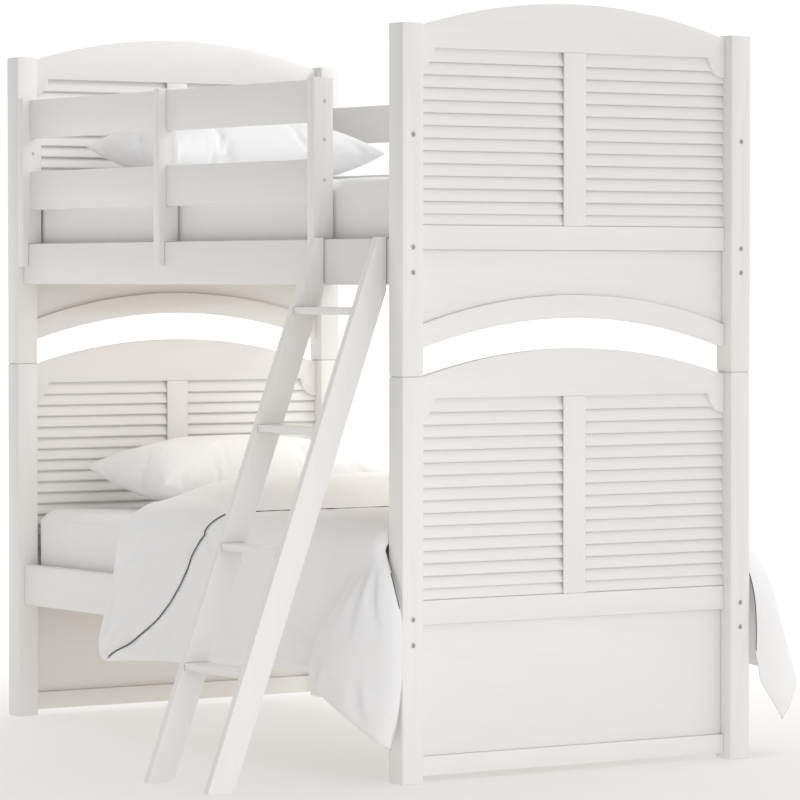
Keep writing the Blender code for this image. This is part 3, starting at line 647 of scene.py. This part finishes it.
ROLL = 0.020             # bend of the underside over the mattress's long edges
SIDE_CLEAR = 0.004       # underside to the posts' and rails' faces
LOFT = 0.042             # thickness of the quilt where it lies flat
SIDE_LOFT = 0.031
TURNED_LOFT = 0.112      # height of the turned-back part at its crown
TURNED_STEP = 0.014      # how much thicker the turned-back part is at its edges
TURNED_BORDER = 0.27     # how far in from the sides it reaches its full height
TURNED_SHIFT = 0.055     # how much nearer the foot its edge runs on the bed than on the side
FOLD_SHIFT = 0.070       # the same for the fold
FOLD_BOW = 0.045         # how far the fold bows to the head in the middle
FOOT_BOW = 0.004
FOLD_ROLL, SIDE_FOLD_ROLL = 0.052, 0.022
EDGE_ROUND = 0.030       # width over which the foot edge and the hem round off
MEET = 0.012             # width over which the cover and its lining come together
LINING_OFF = 0.004       # lining to the inside of the loft where the quilt stands out
CORD_RADIUS = 0.0015
FOOT_CORD_RADIUS = 0.0013

post_low, post_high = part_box("lower_post_front_foot")
foot_face = post_high.x
front_face = post_low.y
back_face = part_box("lower_post_back_foot")[1].y
bed_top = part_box("lower_mattress")[1].z + 0.002
side_top = bed_top - ROLL

# Edges of the quilt on a hanging side, from its hem up to the bend: (height, distance from the foot end).
FOOT_EDGE = np.array([
    (0.088, 0.022), (0.115, 0.018), (0.152, 0.008), (0.213, -0.002), (0.274, -0.010), (0.335, -0.013),
    (0.382, -0.012), (0.430, -0.006), (0.465, 0.006), (0.509, 0.026), (0.543, 0.049), (0.580, 0.0665)])
TURNED_EDGE = np.array([
    (0.200, 1.452), (0.221, 1.387), (0.251, 1.287), (0.280, 1.208), (0.322, 1.130), (0.375, 1.066),
    (0.433, 1.013), (0.494, 0.970), (0.548, 0.927), (0.580, 0.896)])
FOLD_EDGE = np.array([
    (0.198, 1.456), (0.245, 1.461), (0.293, 1.447), (0.342, 1.426), (0.418, 1.386), (0.472, 1.374),
    (0.539, 1.356), (0.580, 1.330)])
# The hems in front and behind: (distance from the foot end, height).
HEM = np.array([
    (-0.02, 0.086), (0.022, 0.088), (0.06, 0.118), (0.13, 0.165), (0.178, 0.193), (0.231, 0.217),
    (0.29, 0.240), (0.417, 0.249), (0.50, 0.258), (0.62, 0.248), (0.85, 0.236), (1.2, 0.222),
    (1.38, 0.208), (1.46, 0.199)])
BACK_HEM = np.array([
    (-0.02, 0.088), (0.02, 0.092), (0.11, 0.180), (0.20, 0.222), (0.4, 0.248), (0.62, 0.248),
    (0.85, 0.236), (1.2, 0.222), (1.38, 0.208), (1.46, 0.199)])
# The valley beside the hanging foot corner: (height, distance from the foot end).
VALLEY = np.array([
    (0.200, 0.330), (0.253, 0.334), (0.315, 0.328), (0.379, 0.298), (0.443, 0.252), (0.508, 0.190),
    (0.561, 0.112), (0.600, 0.015)])
# The cone behind the bed: (height, how far its ridge and its foot edge stand out).
BACK_RIDGE = np.array([
    (0.09, 0.222), (0.19, 0.212), (0.295, 0.165), (0.39, 0.115), (0.486, 0.062), (0.54, 0.022),
    (0.58, 0.0)])
BACK_EDGE = np.array([(0.08, 0.135), (0.12, 0.100), (0.20, 0.030), (0.28, 0.004), (0.58, 0.0)])
# Creases on the front hang: distance from the foot end and height of both ends, width and depth.
CREASES = (
    (1.435, 0.225, 1.300, 0.330, 0.016, 0.0120), (1.425, 0.235, 1.235, 0.285, 0.013, 0.0096),
    (1.440, 0.240, 1.345, 0.400, 0.014, 0.0096), (1.330, 0.470, 1.200, 0.560, 0.020, 0.0064),
    (1.345, 0.330, 1.130, 0.420, 0.022, 0.0056), (0.930, 0.575, 0.990, 0.480, 0.012, 0.0072),
    (0.900, 0.600, 0.800, 0.520, 0.018, 0.0056), (0.062, 0.565, 0.030, 0.395, 0.013, 0.0136),
    (0.090, 0.560, 0.105, 0.370, 0.016, 0.0104), (0.120, 0.545, 0.205, 0.350, 0.018, 0.0088),
    (0.300, 0.375, 0.255, 0.235, 0.016, 0.0096), (0.180, 0.330, 0.235, 0.215, 0.014, 0.0080),
    (0.075, 0.270, 0.060, 0.150, 0.016, 0.0080), (0.330, 0.300, 0.470, 0.262, 0.018, 0.0064),
    (0.350, 0.330, 0.560, 0.380, 0.024, 0.0064), (0.560, 0.540, 0.400, 0.470, 0.030, 0.0056),
    (0.700, 0.300, 0.880, 0.250, 0.022, 0.0048), (1.180, 0.245, 1.020, 0.300, 0.018, 0.0056))


def follow(table, at):
    """The table's second column at a value of its first, eased with a running mean so it has no corners."""
    fine = np.linspace(table[0, 0], table[-1, 0], 400)
    line = np.interp(fine, table[:, 0], table[:, 1])
    window = np.hanning(51)[1:-1]
    half = len(window) // 2
    pad = np.concatenate([2 * line[0] - line[half:0:-1], line, 2 * line[-1] - line[-2:-2 - half:-1]])
    line = np.convolve(pad, window / window.sum(), "same")[half:-half]
    return np.interp(at, fine, line)


def ease(t):
    """From 0 to 1 with no slope at either end, and held there outside that range."""
    t = np.clip(t, 0, 1)
    return t * t * (3 - 2 * t)


def hump(t, middle, width):
    """A bell curve of height 1."""
    return np.exp(-((t - middle) / width) ** 2)


def rounded(gap, width):
    """A quarter circle: 0 at an edge, 1 at width from it and beyond."""
    return np.sqrt(np.clip(1 - (1 - np.clip(gap / width, 0, 1)) ** 2, 0, 1))


def quilt_sections(side, bend, top):
    """Columns from the front hem over the bed to the back hem, from how many lie on each part. For each column:
    the part (0 front side, 1 front bend, 2 top, 3 back bend, 4 back side), the share of the way across it, and
    the share of a side's height, which is 0 at a hem and 1 from the bend on."""
    rise, over, flat = (np.linspace(0, 1, count) for count in (side, bend, top))
    part = np.repeat(np.arange(5), [side, bend - 1, top - 1, bend - 1, side - 1])
    share = np.concatenate([rise, over[1:], flat[1:], over[1:], rise[1:]])
    last = len(part) - 1
    high = np.interp(np.arange(last + 1), [0, side - 1, last + 1 - side, last], [0, 1, 1, 0])
    return part, share, high


SIDE_COLUMNS, BEND_COLUMNS, TOP_COLUMNS = 52, 9, 84
MAIN_ROWS, TURNED_ROWS = 104, 60
part, share, high = quilt_sections(SIDE_COLUMNS, BEND_COLUMNS, TOP_COLUMNS)
front_side, front_bend, on_bed, back_bend, back_side = (part == number for number in range(5))
on_side = front_side | back_side
on_bend = front_bend | back_bend
back_half = part > 2
columns = len(part)
width = back_face - front_face
top_share = np.where(on_bed, share, np.where(back_half, 1.0, 0.0))
bend_share = np.where(front_bend, share, np.where(back_bend, 1 - share, np.where(on_bed, 1.0, 0.0)))

# Edges as distances from the foot end, one value for each column.
edge_height, turned_height, fold_height = (hem_height + (side_top - hem_height) * high
                                           for hem_height in (0.090, 0.200, 0.198))
arch = np.sin(math.pi * top_share)
foot_line = follow(FOOT_EDGE, edge_height) + np.where(high >= 1, FOOT_BOW, 0) * arch
turned_line = follow(TURNED_EDGE, turned_height) - TURNED_SHIFT * ease(bend_share)
fold_line = follow(FOLD_EDGE, fold_height) - FOLD_SHIFT * ease(bend_share * 1.2) + FOLD_BOW * arch ** 0.7

# Rows lie closer together towards the edges.
main = np.linspace(0, 1, MAIN_ROWS)[:, None]
main = 0.5 * main + 0.5 * ease(main)
turned = np.linspace(0, 1, TURNED_ROWS)[:, None]
turned = 0.4 * turned + 0.6 * ease(turned)
s = np.concatenate([foot_line + (turned_line - foot_line) * main,
                    turned_line + (fold_line - turned_line) * turned])
on_turned = np.concatenate([np.zeros((MAIN_ROWS, columns)), np.ones((TURNED_ROWS, columns))]) > 0
rows = MAIN_ROWS + TURNED_ROWS

# The underside: heights down the sides, a quarter circle over each edge, flat on the bed.
hem = np.where(back_half, np.interp(s, BACK_HEM[:, 0], BACK_HEM[:, 1]), np.interp(s, HEM[:, 0], HEM[:, 1]))
z_side = hem + (side_top - hem) * np.where(on_side, high, 1.0)
angle = np.where(on_bend, bend_share, 0) * math.pi / 2
facing = np.where(back_half, 1.0, -1.0)
normal_y = facing * np.where(on_side, 1.0, np.where(on_bend, np.cos(angle), 0.0))
normal_z = np.where(on_bend, np.sin(angle), np.where(on_bed, 1.0, 0.0))
front_line = front_face - SIDE_CLEAR
back_line = back_face + SIDE_CLEAR
over_bed = front_line + ROLL + (back_line - front_line - 2 * ROLL) * top_share
turned_in = np.where(on_bend, ROLL * (1 - np.cos(angle)), 0.0)
by_side = np.where(back_half, back_line, front_line) - facing * turned_in
under_y = np.where(on_bed, over_bed, by_side)
under_z = np.where(on_bend, side_top + ROLL * np.sin(angle), np.where(on_bed, bed_top, z_side))

# How far each foot corner stands out. In front, a cone swells beside its valley; behind, the corner flares.
hanging = np.where(on_side, 1.0, 0.0)
drop = np.clip((side_top - under_z) / (side_top - 0.10), 0, 1)
valley = follow(VALLEY, np.clip(under_z, 0.2, 0.6))
low = ease(drop / 0.62)
ridge = 0.66 * valley
toward_foot = np.clip((s + 0.01) / np.maximum(ridge + 0.01, 0.02), 0, 1)
toward_valley = np.clip((s - ridge) / np.maximum(0.50 * valley, 0.03), 0, 1)
cone = 0.084 * low * np.where(s < ridge, np.sin(toward_foot * math.pi / 2) ** 0.9, 1 - ease(toward_valley))
trough = -0.023 * ease(drop / 0.35) * hump(s, valley + 0.03, 0.045)
sweep = 0.016 * ease(drop) * hump(s, 0.62, 0.26) + 0.010 * ease(drop / 0.8) * hump(s, 1.15, 0.20)
back_ridge = 0.055 + 0.060 * ease(drop / 0.8)
edge_out = np.interp(under_z, BACK_EDGE[:, 0], BACK_EDGE[:, 1])
ridge_out = follow(BACK_RIDGE, np.clip(under_z, 0.09, 0.58))
to_ridge = np.sin(np.clip((s - foot_line) / (back_ridge - foot_line), 0, 1) * math.pi / 2)
flare = np.where(s < back_ridge, edge_out + (ridge_out - edge_out) * to_ridge,
                 ridge_out * (1 - ease((s - back_ridge) / 0.36)))
front_out = cone + trough + sweep
back_out = flare + 0.012 * ease(drop) * hump(s, 0.7, 0.2)
out = hanging * np.where(back_half, back_out, front_out)
out_under = hanging * np.where(back_half, flare, np.maximum(cone - 0.012, 0) + np.maximum(sweep, 0) * 0.6)

# Loft above the underside: thinner down the sides, fuller in the turned-back part, and drawn in at every edge.
across = under_y - front_face
plump = LOFT + (SIDE_LOFT - LOFT) * np.where(on_bed, 0, np.where(on_bend, np.cos(angle), 1))
past_seam = np.clip((s - turned_line) / np.maximum(fold_line - turned_line, 1e-3), 0, 1)
crown = ease(np.minimum(across, width - across) / TURNED_BORDER)
lift = np.where(on_bed, TURNED_STEP + (TURNED_LOFT - LOFT - TURNED_STEP) * crown, TURNED_STEP)
rise = ease(past_seam / 0.62) * np.where(on_bed, 1, 0.75)
plump = plump + np.where(on_turned, lift * rise, 0)
span = np.maximum(fold_line - s, 0)
nose = rounded(span, np.where(on_bed, FOLD_ROLL, SIDE_FOLD_ROLL))
plump = plump * np.where(on_turned, 0.10 + 0.90 * nose, 1)
seam = np.abs(s - turned_line)
plump = plump - 0.0050 * hump(seam, 0, 0.010) * np.where(on_turned, 0.4, 1.0)
foot_gap = np.maximum(s - foot_line, 0)
plump = plump * (0.18 + 0.82 * rounded(foot_gap, EDGE_ROUND))
hem_gap = np.where(hanging > 0, under_z - hem, 1.0)
plump = plump * (0.16 + 0.84 * rounded(hem_gap, EDGE_ROUND))

# Soft folds: broad swells everywhere, drawn-out ones down the sides, and short puckers by the seams.
girth = across + np.where(back_half, -1, 1) * (under_z - bed_top) * hanging
broad = 0.0030 * drift(s, girth, 11, 0.42) + 0.0014 * drift(s, girth * 0.6, 12, 0.16)
pleats = 0.0030 * ease(drop / 0.5) * drift(s + 0.25 * (under_z - 0.5), under_z * 0.10, 13, 0.21)
tugs = 0.0022 * (np.exp(-seam / 0.07) - hump(seam, 0, 0.012)) * drift(girth, s * 0.5, 14, 0.055)
pull = 0.0030 * hump(s, 1.40, 0.10) * ease(drop / 0.9) * drift(under_z + 0.9 * s, s * 0.3, 15, 0.06)
folds = (broad + hanging * pleats) * (1 - 0.92 * hump(seam, 0, 0.05)) + tugs + hanging * pull
for s0, z0, s1, z1, breadth, depth in CREASES:
    length = math.hypot(s1 - s0, z1 - z0)
    along = ((s - s0) * (s1 - s0) + (under_z - z0) * (z1 - z0)) / length ** 2
    off = ((s - s0) * (z1 - z0) - (under_z - z0) * (s1 - s0)) / length / breadth + 0.5 * np.sin(3 * along)
    # It runs 15 % past both ends as it fades, and is a groove between a high lip and a low one.
    inside = (along > -0.15) & (along < 1.15)
    taper = np.where(inside, np.sin(np.clip((along + 0.15) / 1.3, 0, 1) * math.pi), 0) ** 1.5
    bend = 0.75 * hump(off, 1.3, 1) + 0.45 * hump(off, -1.5, 1.1) - hump(off, 0, 1)
    folds = folds + np.where(front_side, depth, 0.0) * taper * bend
folds = folds * ease(np.minimum(foot_gap, 0.06) / 0.06) * np.clip(hem_gap / 0.03, 0.3, 1)

upper_y = under_y + normal_y * (plump + folds + out)
upper_z = under_z + normal_z * (plump + folds)
lower_y = under_y + normal_y * np.minimum(out_under, np.maximum(out + plump - LINING_OFF, 0))
cover_points = np.stack([foot_face - s, upper_y, upper_z], -1)
lining_points = np.stack([foot_face - s, lower_y, np.broadcast_to(under_z, s.shape)], -1)
# Next to the foot edge, the hem and the fold the lining comes a third of the way out to meet the cover.
meet = np.maximum(1 - foot_gap / MEET, 1 - hem_gap / MEET)
meet = np.maximum(meet, np.where(on_turned, 1 - span / MEET, 0)).clip(0, 1)[..., None]
lining_points = lining_points + (cover_points - lining_points) * 0.35 * meet

# The lining is the cover's grid again, facing in, and a wall of faces round the rim joins the two.
size = rows * columns
faces = quads(rows, columns)
inner = faces[:, ::-1] + size
rim = np.concatenate([np.arange(columns), columns * np.arange(1, rows) + columns - 1,
                      size - 2 - np.arange(columns - 1), columns * np.arange(rows - 2, 0, -1)])
after = np.roll(rim, -1)
wall = np.stack([after, rim, rim + size, after + size], -1)
points = np.concatenate([cover_points.reshape(-1, 3), lining_points.reshape(-1, 3)])
duvet = mesh_object("lower_duvet_quilt", points, np.concatenate([faces, inner, wall]))
close_up(duvet)
dress(duvet, washed)
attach(duvet, "lower_bunk")
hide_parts("lower_duvet")

# Charcoal cord, twisted cotton 3 mm thick, caught in the seam along the turned-back end and the foot end.
charcoal, tree, shader = new_material("twisted_charcoal_cord", Roughness=0.8, Sheen_Weight=0.15)
place = add(tree, "TexCoord").outputs["Object"]
# Twist every 2 mm, drawn every 5 mm.
twist = add(tree, "TexWave", {"Vector": place, "Scale": 60.0, "Distortion": 2.0}, bands_direction="DIAGONAL")
tone = add(tree, "Mix", {0: twist.outputs["Fac"], 6: linear("#2E2E2D"), 7: linear("#4A4947")}, data_type="RGBA")
tree.links.new(tone.outputs[2], shader.inputs["Base Color"])
ridge = add(tree, "Bump", {"Height": twist.outputs["Fac"], "Distance": 0.0005})
tree.links.new(ridge.outputs[0], shader.inputs["Normal"])


def cord_along(name, path, radius=CORD_RADIUS, around=8):
    """A tube: rings of points square to the path, with each end drawn in to a small cap."""
    ahead = np.gradient(path, axis=0)
    ahead /= np.linalg.norm(ahead, axis=1)[:, None]
    side = np.cross(ahead, np.array([0.3, 0.2, 0.93]))      # a direction that neither cord runs in
    side /= np.linalg.norm(side, axis=1)[:, None]
    over = np.cross(side, ahead)
    turn = np.arange(around) * math.tau / around
    thick = np.full(len(path), radius)
    thick[[0, -1]] = radius * 0.05
    ring = np.cos(turn)[None, :, None] * side[:, None] + np.sin(turn)[None, :, None] * over[:, None]
    points = path[:, None] + ring * thick[:, None, None]
    cord = mesh_object(name, points.reshape(-1, 3), quads(len(path), around, around=True))
    close_up(cord, cap=True)
    dress(cord, charcoal)
    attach(cord, "lower_bunk")


outward = np.stack([np.zeros(columns), normal_y, normal_z], -1)
seam_path = cover_points[MAIN_ROWS] + outward * 0.0012
cord_along("duvet_turned_edge_piping", seam_path[1:-1])
# At the foot the cord lies on the edge where that runs free, and is rolled under it elsewhere.
edge_path = (cover_points[0] + lining_points[0]) / 2 + np.array([0.0008, 0, 0])
height = edge_path[:, 2]
under = np.where(front_side, np.maximum(ease((0.45 - height) / 0.05), ease((height - 0.525) / 0.02)), 0)
under = np.where(front_bend, 1 - ease(share), np.where(back_side, ease((0.29 - height) / 0.04), under))
edge_path = edge_path + (lining_points[3] - outward * 0.0018 - edge_path) * under[:, None]
cord_along("duvet_foot_edge_piping", edge_path[1:-1], radius=FOOT_CORD_RADIUS)
